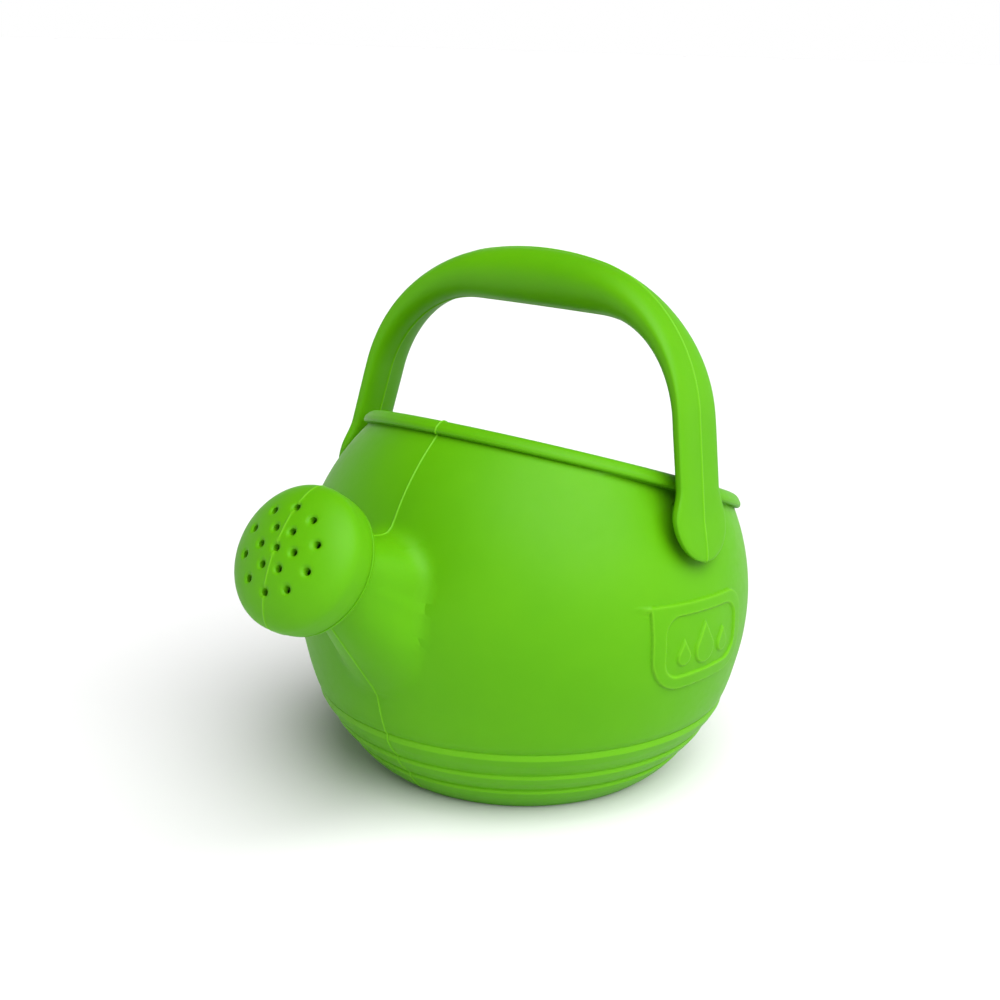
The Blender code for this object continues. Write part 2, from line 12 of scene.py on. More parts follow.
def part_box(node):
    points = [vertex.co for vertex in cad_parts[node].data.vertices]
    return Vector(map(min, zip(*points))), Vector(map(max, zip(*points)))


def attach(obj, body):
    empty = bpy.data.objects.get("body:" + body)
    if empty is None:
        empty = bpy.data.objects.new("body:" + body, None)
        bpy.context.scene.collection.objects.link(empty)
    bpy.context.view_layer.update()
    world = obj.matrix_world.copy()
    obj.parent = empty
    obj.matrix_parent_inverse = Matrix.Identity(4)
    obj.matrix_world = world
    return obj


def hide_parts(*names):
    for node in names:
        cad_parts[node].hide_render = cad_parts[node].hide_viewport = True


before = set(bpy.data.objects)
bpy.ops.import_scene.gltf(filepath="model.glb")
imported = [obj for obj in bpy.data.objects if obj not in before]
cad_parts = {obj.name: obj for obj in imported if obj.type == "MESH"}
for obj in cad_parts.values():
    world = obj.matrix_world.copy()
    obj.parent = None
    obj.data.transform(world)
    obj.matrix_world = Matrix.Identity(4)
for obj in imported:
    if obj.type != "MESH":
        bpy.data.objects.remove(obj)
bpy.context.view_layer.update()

# ---------------------------------------------------------------- sizes shared with the CAD model
SEAM_HEIGHT = 0.00025         # the mould's parting line stands this proud
SEAM_HALF_WIDTH = 0.00032
SEAM_PLACES = (0.00010, 0.00019, 0.00032)  # distances from the split that carry the thin line
ROSE_SEAM = 0.00012
SEAM_START = 0.0015           # height over the ground where the parting line begins
SEAM_MARGIN = 0.0007          # the meshes are fine up to this distance from the split
BOWL_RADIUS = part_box("can_body")[0].x * -1.0 - SEAM_HEIGHT
BOWL_CENTRE = Vector((0.0, 0.0, 0.0485))
FOOT_RADIUS = 0.0400
WALL = 0.0026
FLOOR = 0.0030

RIM_TILT = math.radians(19.35)
CREASE_DEPTH = 0.0341
RIM_DEPTH = 0.0379
BEAD_RADIUS = 0.0537 - SEAM_HEIGHT
LOW_ANGLE = math.radians(-23.6)
RIM_FRONT_ANGLE = math.asin(CREASE_DEPTH / 0.0625) + RIM_TILT
RIM_BACK_ANGLE = math.asin(CREASE_DEPTH / 0.0625) - RIM_TILT
FLARE = 0.0005
FLARE_TOP = 0.0345
FLARE_BOTTOM = 0.0221

AXIS_ANGLE = math.radians(31.0)
AXIS = Vector((math.cos(AXIS_ANGLE), 0.0, math.sin(AXIS_ANGLE)))
ACROSS = Vector((-math.sin(AXIS_ANGLE), 0.0, math.cos(AXIS_ANGLE)))
SIDE = Vector((0.0, 1.0, 0.0))
FACE_POINT = Vector((0.0950, 0.0, 0.0815))
CONE_SLOPE = math.tan(math.radians(22.7))
CONE_SLIM = 0.32              # how much slimmer the cone is on its flanks than on its back
FILLET_BELOW = 0.0012
FILLET_ABOVE = 0.0030
FILLET_SPREAD = 0.0160
SHOULDER = 0.0155
SPIGOT_END = 0.0090
SPIGOT_RADIUS = 0.0056
BORE_RADIUS = 0.0042
NECK_SEAM = 0.0010            # nearer the split than this, the columns run side by side
BASE_STEPS = ((0.0072, 0.0079), (0.0135, 0.0144), (0.0206, 0.0221))  # lower and upper edges
BASE_GROOVE = 0.00015         # thin line moulded in over each step of the base

ROSE_RADIUS = 0.01793
ROSE_DOME = 0.00867
ROSE_MIDDLE = 0.0088          # where the rose is widest, measured back from the face point
ROSE_DEPTH = 0.0152
ROSE_WALL = 0.0020
ROSE_SKIN_RINGS = 30          # turned rings that can lie outside, counted from the face
SOCKET_RADIUS = 0.0059
SOCKET_WALL = 0.0022
FACE_DISC = 0.0140            # the middle of the face, where the holes are
HOLE_RADIUS = 0.00092
DISH_RADIUS = 0.00165         # shallow dish round each hole
DISH_DEPTH = 0.00032
HOLE_RINGS = ((0.0, 1, 0.0), (0.0052, 6, 30.0), (0.0104, 10, 0.0))

PIVOT = Vector((0.0030, 0.0, 0.0794))
HANDLE_LEAN = math.radians(-7.6)
DIMPLE_DEPTH = 0.0026
DIMPLE_WIDTH = 0.0150
TAB_HALF_WIDTH = 0.0105
TAB_DROP = 0.0101
TAB_NECK = 0.0075
TAB_TILT_OUTSIDE = 0.29
TAB_TILT_INSIDE = 0.31
LEG_HALF_WIDTH = 0.0082
GRIP_HALF_WIDTH = 0.0072
LEG_TOE = 0.08
OUTER_FOOT = 0.0585
INNER_FOOT = 0.0548
OUTER_SLOPE = math.radians(11.4)
INNER_SLOPE = math.radians(12.2)
OUTER_BEND = 0.0436
INNER_BEND = 0.0305
OUTER_CROWN = 0.0985
INNER_CROWN = 2.3000
HANDLE_TOP = 0.0624 - SEAM_HEIGHT
GRIP_UNDERSIDE = 0.0474
LEG_SHARE, CROWN_SHARE = 0.35, 0.75  # where the leg's bend and the crown start, from 0 to 1
TAB_SPLIT = 0.30
OUTER_POWER = 3.1
INNER_POWER = 3.2
GRIP_POWER = 2.0

BOSS_FACE = 0.0436
BOSS_RADIUS = 0.0070
STUD_HEAD_RADIUS = 0.0060
STUD_HEAD_THICKNESS = 0.0017
STUD_RADIUS = 0.0030
STUD_DISC_RADIUS = 0.0040
STUD_DISC = (0.0560, 0.0569)
STUD_PLAY = 0.0003
WALL_HOLE_END = 0.0600
POCKET_START = 0.0500
FORWARD = Vector((1.0, 0.0, 0.0))

PLAQUE_LEFT = math.radians(68.0)
PLAQUE_RIGHT = math.radians(102.0)
PLAQUE_BOTTOM = math.radians(-9.8)
PLAQUE_TOP = math.radians(11.6)
PLAQUE_REACH = 0.04           # angle past the plaque within which its relief is worked out
PLAQUE_HEIGHT = 0.00074
PLAQUE_TAPER = 0.055          # the upper edge drops this much towards the back
PLAQUE_CORNERS = ((0.0005, 0.0062), (0.0105, 0.0080))  # upper pair and lower pair, front first
FIELD_DEPTH = 0.00055         # sunk middle of the plaque, and the drops that stand up in it
FIELD_MARGIN = (0.0040, 0.0034)
FIELD_CORNER = 0.0050
DROPS = ((0.0002, -0.0026, 0.0037), (-0.0078, -0.0030, 0.0023), (0.0082, -0.0030, 0.0023))
RELIEF_SLOPE = 0.0005         # width of the slope at each edge of the relief
# where and how wide the painted highlight runs along the plaque's edges
HIGHLIGHT_LINE_INSET = 0.00025
HIGHLIGHT_LINE_WIDTH = 0.00030

# ---------------------------------------------------------------- how fine the meshes are
COARSE_STEP = math.radians(2.5)
PLAQUE_STEP = math.radians(0.22)
PLAQUE_MARGIN = 0.03          # the columns are close together up to this angle past the plaque
SPOUT_STEP = math.radians(0.8)
SPOUT_EDGE = math.radians(27.0)
FRONT_GAP, BACK_GAP = 0.022, 0.028  # angles from the split to the first ordinary column
COARSE_ROW = 0.02
PLAQUE_ROW = 0.0042
PLAQUE_ROWS = (0.21, 0.70)    # the rows are close together between these shares of the wall
SPOUT_LOW, SPOUT_HIGH = 0.14, 0.86
SPOUT_STEPS = 56
FIELD_TRIES = 7
RELAX_ROUNDS = 3
ROUND_STEPS = 64
HOLE_STEPS = 48
ARCH_STEPS = 96


# ---------------------------------------------------------------- small tools
def smoothstep(value):
    value = min(max(value, 0.0), 1.0)
    return value * value * (3.0 - 2.0 * value)


def mix(a, b, t):
    return a + (b - a) * t


def smooth_min(a, b, width):
    overlap = max(width - abs(a - b), 0.0) / width
    return min(a, b) - overlap * overlap * width * 0.25


def steps_between(low, high, step):
    """Evenly spaced values from low up to, but not including, high."""
    count = max(1, round((high - low) / step))
    return [mix(low, high, i / count) for i in range(count)]


def bridge(bm, ring_a, ring_b):
    count = len(ring_a)
    for i in range(count):
        j = (i + 1) % count
        bm.faces.new((ring_a[i], ring_a[j], ring_b[j], ring_b[i]))


def cap(bm, ring, centre):
    for i, vertex in enumerate(ring):
        bm.faces.new((vertex, ring[(i + 1) % len(ring)], centre))


def raise_seam(bm, vertices, off_plane, height=SEAM_HEIGHT):
    """Lifts the thin parting line and marks a painted highlight along it: off_plane gives a
    vertex's distance from the mould's split.
    """
    ridge_highlight = bm.verts.layers.float["ridge_highlight"]
    lifts = []
    for vertex in vertices:
        share = abs(off_plane(vertex.co)) / SEAM_HALF_WIDTH
        if share < 1.0:
            lifts.append((vertex, vertex.normal * height * (1.0 - share * share) ** 2))
            # painted highlight: the lifted line gets a lighter colour in the material
            vertex[ridge_highlight] = (1.0 - share * share) ** 2
    for vertex, lift in lifts:
        vertex.co += lift


def finish_mesh(name, bm, material, body, node, sharp=50.0):
    bmesh.ops.recalc_face_normals(bm, faces=bm.faces)
    mesh = bpy.data.meshes.new(name)
    bm.to_mesh(mesh)
    bm.free()
    mesh.shade_smooth()
    mesh.set_sharp_from_angle(angle=math.radians(sharp))
    mesh.materials.append(material)
    piece = bpy.data.objects.new(name, mesh)
    bpy.context.scene.collection.objects.link(piece)
    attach(piece, body)
    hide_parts(node)
    return piece


def boolean(piece, name, bm, operation):
    """Joins or cuts with a helper solid, and applies it."""
    bmesh.ops.recalc_face_normals(bm, faces=bm.faces)
    mesh = bpy.data.meshes.new(name)
    bm.to_mesh(mesh)
    bm.free()
    helper = bpy.data.objects.new(name, mesh)
    bpy.context.scene.collection.objects.link(helper)
    modifier = piece.modifiers.new(name, "BOOLEAN")
    modifier.operation = operation
    modifier.solver = "EXACT"
    modifier.object = helper
    bpy.context.view_layer.objects.active = piece
    bpy.ops.object.modifier_apply(modifier=name)
    bpy.data.objects.remove(helper, do_unlink=True)


def turned(profile, origin, axis, across, steps):
    """A closed turned solid from (distance along the axis, radius) pairs, from pole to pole."""
    bm = bmesh.new()
    side = axis.cross(across)
    rings = []
    for along, radius in profile:
        if radius == 0.0:
            rings.append([bm.verts.new(origin + axis * along)])
            continue
        ring = []
        for i in range(steps):
            angle = 2.0 * math.pi * i / steps
            spoke = across * math.cos(angle) + side * math.sin(angle)
            ring.append(bm.verts.new(origin + axis * along + spoke * radius))
        rings.append(ring)
    for ring_a, ring_b in zip(rings, rings[1:]):
        if len(ring_a) == 1:
            cap(bm, ring_b, ring_a[0])
        elif len(ring_b) == 1:
            cap(bm, ring_a, ring_b[0])
        else:
            bridge(bm, ring_a, ring_b)
    return bm


def rounded(points, radius, count=4):
    """A run of points with each inner corner turned into a small curve."""
    result = [points[0]]
    for before, corner, after in zip(points, points[1:], points[2:]):
        here, back, ahead = Vector(corner), Vector(before), Vector(after)
        reach = min(radius, (back - here).length * 0.45, (ahead - here).length * 0.45)
        start = here + (back - here).normalized() * reach
        end = here + (ahead - here).normalized() * reach
        for i in range(count + 1):
            t = i / count
            curve = start.lerp(here, t).lerp(here.lerp(end, t), t)
            result.append(tuple(curve))
    result.append(points[-1])
    return result


# ---------------------------------------------------------------- materials
def noise(tree, place, scale, detail):
    texture = tree.nodes.new("ShaderNodeTexNoise")
    texture.inputs["Scale"].default_value = scale
    texture.inputs["Detail"].default_value = detail
    tree.links.new(place.outputs["Object"], texture.inputs["Vector"])
    return texture


def bump(tree, texture, strength, distance):
    node = tree.nodes.new("ShaderNodeBump")
    node.inputs["Strength"].default_value = strength
    node.inputs["Distance"].default_value = distance
    tree.links.new(texture.outputs["Fac"], node.inputs["Height"])
    return node


def silicone(name, colour, shade, grain):
    """Satin silicone: a faint cloudy tint, moulded grain, and a soft uneven sheen.

    A vertex layer is 1 on thin raised lines; there the colour is mixed towards a lighter green, a
    painted highlight.
    """
    material = bpy.data.materials.new(name)
    material.use_nodes = True
    tree = material.node_tree
    nodes, links = tree.nodes, tree.links
    shader = nodes["Principled BSDF"]
    place = nodes.new("ShaderNodeTexCoord")

    cloud = noise(tree, place, 38.0, 3.0)
    tint = nodes.new("ShaderNodeMix")
    tint.data_type = "RGBA"
    tint.inputs["A"].default_value = shade
    tint.inputs["B"].default_value = colour
    spread = nodes.new("ShaderNodeMapRange")
    spread.inputs["From Min"].default_value = 0.30
    spread.inputs["From Max"].default_value = 0.62
    links.new(cloud.outputs["Fac"], spread.inputs["Value"])
    links.new(spread.outputs["Result"], tint.inputs["Factor"])
    ridge_highlight = nodes.new("ShaderNodeAttribute")
    ridge_highlight.attribute_name = "ridge_highlight"
    highlight_tint = nodes.new("ShaderNodeMix")
    highlight_tint.data_type = "RGBA"
    # painted highlight: a lighter green on thin raised lines, standing in for the light they catch
    highlight_tint.inputs["B"].default_value = (colour[0] * 1.6, colour[1] * 1.3, 0.01, 1.0)
    links.new(ridge_highlight.outputs["Fac"], highlight_tint.inputs["Factor"])
    links.new(tint.outputs["Result"], highlight_tint.inputs["A"])
    links.new(highlight_tint.outputs["Result"], shader.inputs["Base Color"])

    haze = noise(tree, place, 420.0, 4.0)
    rough = nodes.new("ShaderNodeMapRange")
    rough.inputs["To Min"].default_value = 0.40
    rough.inputs["To Max"].default_value = 0.56
    links.new(haze.outputs["Fac"], rough.inputs["Value"])
    links.new(rough.outputs["Result"], shader.inputs["Roughness"])

    fine = bump(tree, noise(tree, place, 2600.0, 2.0), grain, 0.00004)
    broad = bump(tree, noise(tree, place, 90.0, 2.0), 0.10, 0.0006)
    links.new(fine.outputs["Normal"], broad.inputs["Normal"])
    links.new(broad.outputs["Normal"], shader.inputs["Normal"])

    shader.inputs["Metallic"].default_value = 0.0
    shader.inputs["IOR"].default_value = 1.28
    shader.inputs["Specular IOR Level"].default_value = 0.38
    shader.inputs["Subsurface Weight"].default_value = 0.12
    shader.inputs["Subsurface Radius"].default_value = (0.35, 1.0, 0.10)
    shader.inputs["Subsurface Scale"].default_value = 0.0012
    return material


# ---------------------------------------------------------------- can body
def flare(height):
    return FLARE * smoothstep((FLARE_TOP - height) / (FLARE_TOP - FLARE_BOTTOM))


def dimple(point):
    away = math.hypot(point.x - PIVOT.x, point.z - PIVOT.z) / DIMPLE_WIDTH
    push = DIMPLE_DEPTH * math.exp(-away * away)
    inward = smoothstep(abs(point.y) / BOWL_RADIUS * 2.0)
    return point - SIDE * math.copysign(push * inward, point.y)


def box_distance(x, y, half_x, half_y, corner):
    """Signed distance to a rectangle with rounded corners, centred on the origin."""
    reach_x = abs(x) - half_x + corner
    reach_y = abs(y) - half_y + corner
    outside = math.hypot(max(reach_x, 0.0), max(reach_y, 0.0))
    return outside + min(max(reach_x, reach_y), 0.0) - corner


def drop_distance(x, y, size):
    """Signed distance to a water drop: a circle of that radius run up into a point."""
    side_lean, side_rise = 0.5, math.sqrt(0.75)
    x = abs(x)
    along = side_rise * y - side_lean * x
    if along < 0.0:
        return math.hypot(x, y) - size
    if along > side_rise * 2.0 * size:
        return math.hypot(x, y - 2.0 * size)
    return side_rise * x + side_lean * y - size


def plaque_edges(point):
    """Signed distances to the plaque's outline, its sunk field and its drops, or None far off."""
    spoke = point - BOWL_CENTRE
    azimuth = math.atan2(spoke.y, spoke.x)
    latitude = math.asin(spoke.z / spoke.length)
    if not (PLAQUE_LEFT - PLAQUE_REACH < azimuth < PLAQUE_RIGHT + PLAQUE_REACH and
            PLAQUE_BOTTOM - PLAQUE_REACH < latitude < PLAQUE_TOP + PLAQUE_REACH):
        return None
    x = (azimuth - (PLAQUE_LEFT + PLAQUE_RIGHT) / 2.0) * BOWL_RADIUS * math.cos(latitude)
    y = (latitude - (PLAQUE_TOP + PLAQUE_BOTTOM) / 2.0) * BOWL_RADIUS
    half_x = (PLAQUE_RIGHT - PLAQUE_LEFT) / 2.0 * BOWL_RADIUS
    half_y = (PLAQUE_TOP - PLAQUE_BOTTOM) / 2.0 * BOWL_RADIUS
    tapered = y + PLAQUE_TAPER * (x + half_x) * smoothstep((y + half_y) / (2.0 * half_y))
    corner = PLAQUE_CORNERS[0 if y > 0.0 else 1][0 if x < 0.0 else 1]
    edge = box_distance(x, tapered, half_x, half_y, corner)
    field = box_distance(x - 0.0004, tapered - 0.0002, half_x - FIELD_MARGIN[0],
                         half_y - FIELD_MARGIN[1], FIELD_CORNER)
    drops = min(drop_distance(x - drop_x, y - drop_y, size) for drop_x, drop_y, size in DROPS)
    return edge, field, drops


def plaque_relief(point):
    """Height of the raised plaque over the wall, with a sunk field that shows three drops."""
    edges = plaque_edges(point)
    if edges is None:
        return 0.0
    raised, sunk, drops = [smoothstep(0.5 - edge / RELIEF_SLOPE) for edge in edges]
    return PLAQUE_HEIGHT * raised - FIELD_DEPTH * sunk + FIELD_DEPTH * drops


def plaque_highlight_line(point):
    """1 along the raised edges of the plaque and 0 elsewhere: the mask of a painted highlight."""
    edges = plaque_edges(point)
    if edges is None:
        return 0.0
    edge, field, drops = edges
    return max(math.exp(-((away / HIGHLIGHT_LINE_WIDTH) ** 2))
               for away in (edge + HIGHLIGHT_LINE_INSET, field - HIGHLIGHT_LINE_INSET, drops + HIGHLIGHT_LINE_INSET))


def slimness(turn):
    """How much slimmer the cone is at a place round it: turn is 0 on its back, 1 at its keel."""
    return CONE_SLIM * smoothstep((turn - 0.12) / 0.35) * smoothstep((1.0 - turn) / 0.42)


def body_field(point, inset):
    """Distance outside the bowl and cone blended together, both drawn in by the inset."""
    offset = point - BOWL_CENTRE
    bowl = offset.length - (BOWL_RADIUS + flare(point.z) - inset)
    from_face = point - FACE_POINT
    back = -from_face.dot(AXIS)
    across = from_face.dot(ACROSS)
    lateral = math.hypot(across, from_face.y)
    slim = slimness(0.5 - 0.5 * across / max(lateral, 1e-6))
    reach = SHOULDER + (back - SHOULDER) * (1.0 - slim)
    cone = lateral - max(CONE_SLOPE * reach - inset, BORE_RADIUS)
    fillet = mix(FILLET_BELOW, FILLET_ABOVE, smoothstep(across / FILLET_SPREAD))
    return smooth_min(bowl, cone * math.cos(math.atan(CONE_SLOPE)), fillet)


def onto_field(point, inset):
    """Moves a point onto the surface of the bowl and the spout, along the steepest way."""
    step = 0.00002
    ways = (Vector((step, 0.0, 0.0)), Vector((0.0, step, 0.0)), Vector((0.0, 0.0, step)))
    for _ in range(FIELD_TRIES):
        value = body_field(point, inset)
        if abs(value) < 0.000001:
            break
        slope = Vector([(body_field(point + way, inset) - value) / step for way in ways])
        point = point - slope * (value / max(slope.length_squared, 1e-6))
    return point


def seam_angles():
    """Angles just beside the mould's split, close enough to carry the thin parting line."""
    return [offset / BOWL_RADIUS for offset in SEAM_PLACES + (SEAM_MARGIN,)]


def column_angles():
    """Azimuths of the grid's columns, all the way round from 0."""
    near = seam_angles()
    last = math.pi - BACK_GAP
    front = near + steps_between(FRONT_GAP, SPOUT_EDGE, SPOUT_STEP)
    back = [last] + [math.pi - angle for angle in near[::-1]]
    plaque_start, plaque_end = PLAQUE_LEFT - PLAQUE_MARGIN, PLAQUE_RIGHT + PLAQUE_MARGIN
    left = [0.0] + front + steps_between(SPOUT_EDGE, plaque_start, COARSE_STEP)
    left += steps_between(plaque_start, plaque_end, PLAQUE_STEP)
    left += steps_between(plaque_end, last, COARSE_STEP) + back + [math.pi]
    right = front + steps_between(SPOUT_EDGE, last, COARSE_STEP) + back
    return left + [2.0 * math.pi - angle for angle in right[::-1]]


def wall_shares():
    """Places of the wall's rings between the base's top step, 0, and the rim's crease, 1."""
    shares = []
    ends = (0.0, SPOUT_LOW) + PLAQUE_ROWS + (SPOUT_HIGH, 1.0)
    for low, high in zip(ends, ends[1:]):
        shares += steps_between(low, high, PLAQUE_ROW if low == PLAQUE_ROWS[0] else COARSE_ROW)
    return shares + [1.0]


COLUMNS = column_angles()
SHARES = wall_shares()


def tilted_ring(tilt, depth, radius):
    normal = Vector((-math.sin(tilt), 0.0, math.cos(tilt)))
    forward = Vector((math.cos(tilt), 0.0, math.sin(tilt)))
    return [BOWL_CENTRE + normal * depth + (forward * math.cos(a) + SIDE * math.sin(a)) * radius
            for a in COLUMNS]


def level_ring(height, radius):
    return tilted_ring(0.0, height - BOWL_CENTRE.z, radius)


def wall_ring(share, inset):
    front = mix(LOW_ANGLE, RIM_FRONT_ANGLE, share)
    back = mix(LOW_ANGLE, RIM_BACK_ANGLE, share)
    tilt = (front - back) / 2.0
    middle = (front + back) / 2.0
    radius = BOWL_RADIUS - inset
    points = []
    for point in tilted_ring(tilt, radius * math.sin(middle), radius * math.cos(middle)):
        spoke = (point - BOWL_CENTRE).normalized()
        relief = plaque_relief(point) if inset == 0.0 else 0.0
        points.append(dimple(BOWL_CENTRE + spoke * (radius + flare(point.z) + relief)))
    return points


def sphere_radius(height, inset):
    return math.sqrt((BOWL_RADIUS - inset) ** 2 - (height - BOWL_CENTRE.z) ** 2)


def base_profile():
    """The foot and the three steps of the base from the bottom up, as (radius, height)."""
    corners = [(FOOT_RADIUS - 0.0020, 0.0), (FOOT_RADIUS, 0.0), (FOOT_RADIUS + 0.0011, 0.0008)]
    for low, high in BASE_STEPS:
        edge = sphere_radius(low, 0.0) + 0.0011
        previous = corners[-1]
        for share in (0.33, 0.66):
            height = mix(previous[1], low, share)
            bulge = 0.00025 * math.sin(math.pi * share)
            corners.append((mix(previous[0], edge, share) + bulge, height - bulge))
        top = max(edge, sphere_radius(high, 0.0) + 0.0004)
        corners += [(edge, low), (top, high), (top - BASE_GROOVE, high + 0.00012),
                    (top - BASE_GROOVE + 0.0002, high + 0.00050)]
    wall_start = wall_ring(0.0, 0.0)[0]
    corners.append((wall_start.x, wall_start.z))
    return rounded(corners, 0.00018, 3)[:-1]


def rim_profile():
    """The rolled rim from its lower outside edge, over the top, into the mouth."""
    crease = math.sqrt(BOWL_RADIUS ** 2 - CREASE_DEPTH ** 2)
    corners = [
        (CREASE_DEPTH, crease), (CREASE_DEPTH + 0.0002, crease - 0.0002),
        (CREASE_DEPTH + 0.0003, BEAD_RADIUS - 0.0004), (CREASE_DEPTH + 0.0008, BEAD_RADIUS),
        (CREASE_DEPTH + 0.0018, BEAD_RADIUS - 0.0001), (RIM_DEPTH - 0.0006, 0.0522),
        (RIM_DEPTH, 0.0511), (RIM_DEPTH, 0.0495), (RIM_DEPTH - 0.0010, 0.0487),
        (CREASE_DEPTH - 0.0006, 0.0497),
    ]
    return rounded(corners, 0.0005, 4)[1:-1]


def axis_point(back, radius, angle):
    spoke = ACROSS * math.cos(angle) + SIDE * math.sin(angle)
    return FACE_POINT - AXIS * back + spoke * radius


def neck_angle(start, radius):
    """Angle round the spout's axis for a column, with the seam's columns kept side by side."""
    from_face = start - FACE_POINT
    angle = math.atan2(from_face.y, from_face.dot(ACROSS))
    if abs(from_face.y) < NECK_SEAM:
        flat = math.asin(from_face.y / radius)
        return flat if from_face.dot(ACROSS) > 0.0 else math.pi - flat
    return angle


def spout_rings(window_points, inset):
    rings = []
    radius = max(CONE_SLOPE * SHOULDER - inset, BORE_RADIUS)
    for step in range(1, SPOUT_STEPS + 1):
        share = step / SPOUT_STEPS
        ring = []
        for start in window_points:
            neck = axis_point(SHOULDER, radius, neck_angle(start, radius))
            point = start.lerp(neck, share)
            ring.append(neck if step == SPOUT_STEPS else onto_field(point, inset))
        rings.append(ring)
    return relaxed([window_points] + rings, inset)[1:]


def relaxed(rings, inset):
    """Evens out the rings between the first and the last, and slides them back on the surface."""
    for _ in range(RELAX_ROUNDS):
        middles = []
        for before, here, after in zip(rings, rings[1:], rings[2:]):
            ring = []
            for i, point in enumerate(here):
                middle = (before[i] + after[i]) / 2.0
                if abs(point.y) > NECK_SEAM * 1.2:
                    middle = middle.lerp((here[i - 1] + here[(i + 1) % len(here)]) / 2.0, 0.5)
                ring.append(onto_field(point.lerp(middle, 0.7), inset))
            middles.append(ring)
        rings = rings[:1] + middles + rings[-1:]
    return rings


def ring_at(window_points, back, radius):
    return [axis_point(back, radius, neck_angle(start, SPIGOT_RADIUS)) for start in window_points]


def spout_window():
    """Grid places round the opening that the spout grows from, as (row, column) in order."""
    low = min(range(len(SHARES)), key=lambda i: abs(SHARES[i] - SPOUT_LOW))
    high = min(range(len(SHARES)), key=lambda i: abs(SHARES[i] - SPOUT_HIGH))
    edge = min(range(len(COLUMNS)), key=lambda i: abs(COLUMNS[i] - SPOUT_EDGE))
    columns = range(-edge, edge + 1)
    window = [(low, c) for c in columns]
    window += [(r, edge) for r in range(low + 1, high)]
    window += [(high, c) for c in reversed(columns)]
    window += [(r, -edge) for r in range(high - 1, low, -1)]
    return window, low, high, edge


def floor_profile():
    """The inside of the bowl below the wall, down to the flat floor, as (radius, height)."""
    profile = [(sphere_radius(z, WALL), z) for z in (0.0190, 0.0150, 0.0115, 0.0085, 0.0062)]
    return profile + [(0.0385, 0.0044), (0.0372, 0.0034), (0.0355, FLOOR), (0.0180, FLOOR)]


def paint_line_highlights(bm, base_rows, wall_rows):
    """Marks painted highlights: the plaque's edges and the steps of the base get a lighter colour.
    """
    ridge_highlight = bm.verts.layers.float["ridge_highlight"]
    for vertex in sum(wall_rows, []):
        vertex[ridge_highlight] = 0.6 * plaque_highlight_line(vertex.co)
    for vertex in sum(base_rows, []):
        if any(bottom - 0.0001 < vertex.co.z < top + 0.0001 for bottom, top in BASE_STEPS):
            vertex[ridge_highlight] = 0.5


def spout_loops(bm, mouth_out, mouth_in):
    """The spout's skin from its mouth in the outer wall, and its bore back to the inner wall."""
    out_points = [vertex.co.copy() for vertex in mouth_out]
    in_points = [vertex.co.copy() for vertex in mouth_in]
    spigot = (
        (SHOULDER - 0.0002, 0.0062), (SHOULDER - 0.0002, 0.0058),
        (SHOULDER - 0.0004, SPIGOT_RADIUS), (SPIGOT_END + 0.0004, SPIGOT_RADIUS),
        (SPIGOT_END, SPIGOT_RADIUS - 0.0004),
    )
    tube = spout_rings(out_points, 0.0)
    tube += [ring_at(out_points, back, radius) for back, radius in spigot]
    bore = spout_rings(in_points, WALL)
    bore.append(ring_at(in_points, SPIGOT_END, BORE_RADIUS))
    outside = [[bm.verts.new(point) for point in ring] for ring in tube]
    inside = [[bm.verts.new(point) for point in ring] for ring in bore[::-1]]
    return outside, inside


def body_mesh():
    """Rows of vertices from the foot, up the outside, over the rim, down to the inside's floor."""
    bm = bmesh.new()
    bm.verts.layers.float.new("ridge_highlight")
    outer_wall = [wall_ring(share, 0.0) for share in SHARES]
    inner_wall = [wall_ring(share, WALL) for share in SHARES]
    base = [level_ring(height, radius) for radius, height in base_profile()]
    rim = [tilted_ring(RIM_TILT, depth, radius) for depth, radius in rim_profile()]
    inside = [level_ring(height, radius) for radius, height in floor_profile()]
    rings = base + outer_wall + rim + inner_wall[::-1] + inside
    rows = [[bm.verts.new(point) for point in ring] for ring in rings]
    window, low, high, edge = spout_window()
    outer_start = len(base)
    rim_start = outer_start + len(SHARES)
    inner_end = rim_start + len(rim) + len(SHARES) - 1
    # painted highlights on the plaque's edges and the base's steps
    paint_line_highlights(bm, rows[:outer_start], rows[outer_start:rim_start])
    count = len(COLUMNS)
    for index in range(len(rows) - 1):
        in_rows = low <= index - outer_start < high or low <= inner_end - index - 1 < high
        for column in range(count):
            if in_rows and (column < edge or column >= count - edge):
                continue
            after = (column + 1) % count
            bm.faces.new((rows[index][column], rows[index][after],
                          rows[index + 1][after], rows[index + 1][column]))
    cap(bm, rows[0], bm.verts.new((0.0, 0.0, 0.0)))
    cap(bm, rows[-1], bm.verts.new((0.0, 0.0, FLOOR)))
    mouth_out = [rows[outer_start + r][c % count] for r, c in window]
    mouth_in = [rows[inner_end - r][c % count] for r, c in window]
    outside_loops, inside_loops = spout_loops(bm, mouth_out, mouth_in)
    loops = [mouth_out] + outside_loops + inside_loops + [mouth_in]
    for ring_a, ring_b in zip(loops, loops[1:]):
        bridge(bm, ring_a, ring_b)
    loose = [vertex for vertex in bm.verts if not vertex.link_faces]
    bmesh.ops.delete(bm, geom=loose, context="VERTS")
    bmesh.ops.recalc_face_normals(bm, faces=bm.faces)
    bm.normal_update()
    skin = [v for row in rows[4:rim_start + len(rim) - 6] for v in row
            if v.is_valid and v.co.z > SEAM_START]
    skin += [v for loop in outside_loops[:SPOUT_STEPS - 1] for v in loop]
    raise_seam(bm, skin, lambda co: co.y)
    return bm


def wall_middle(x, z):
    """Distance from the middle plane to the middle of the bowl's side wall at that place."""
    radius = BOWL_RADIUS - WALL / 2.0
    side = math.sqrt(radius ** 2 - x ** 2 - (z - BOWL_CENTRE.z) ** 2)
    return dimple(Vector((x, side, z))).y


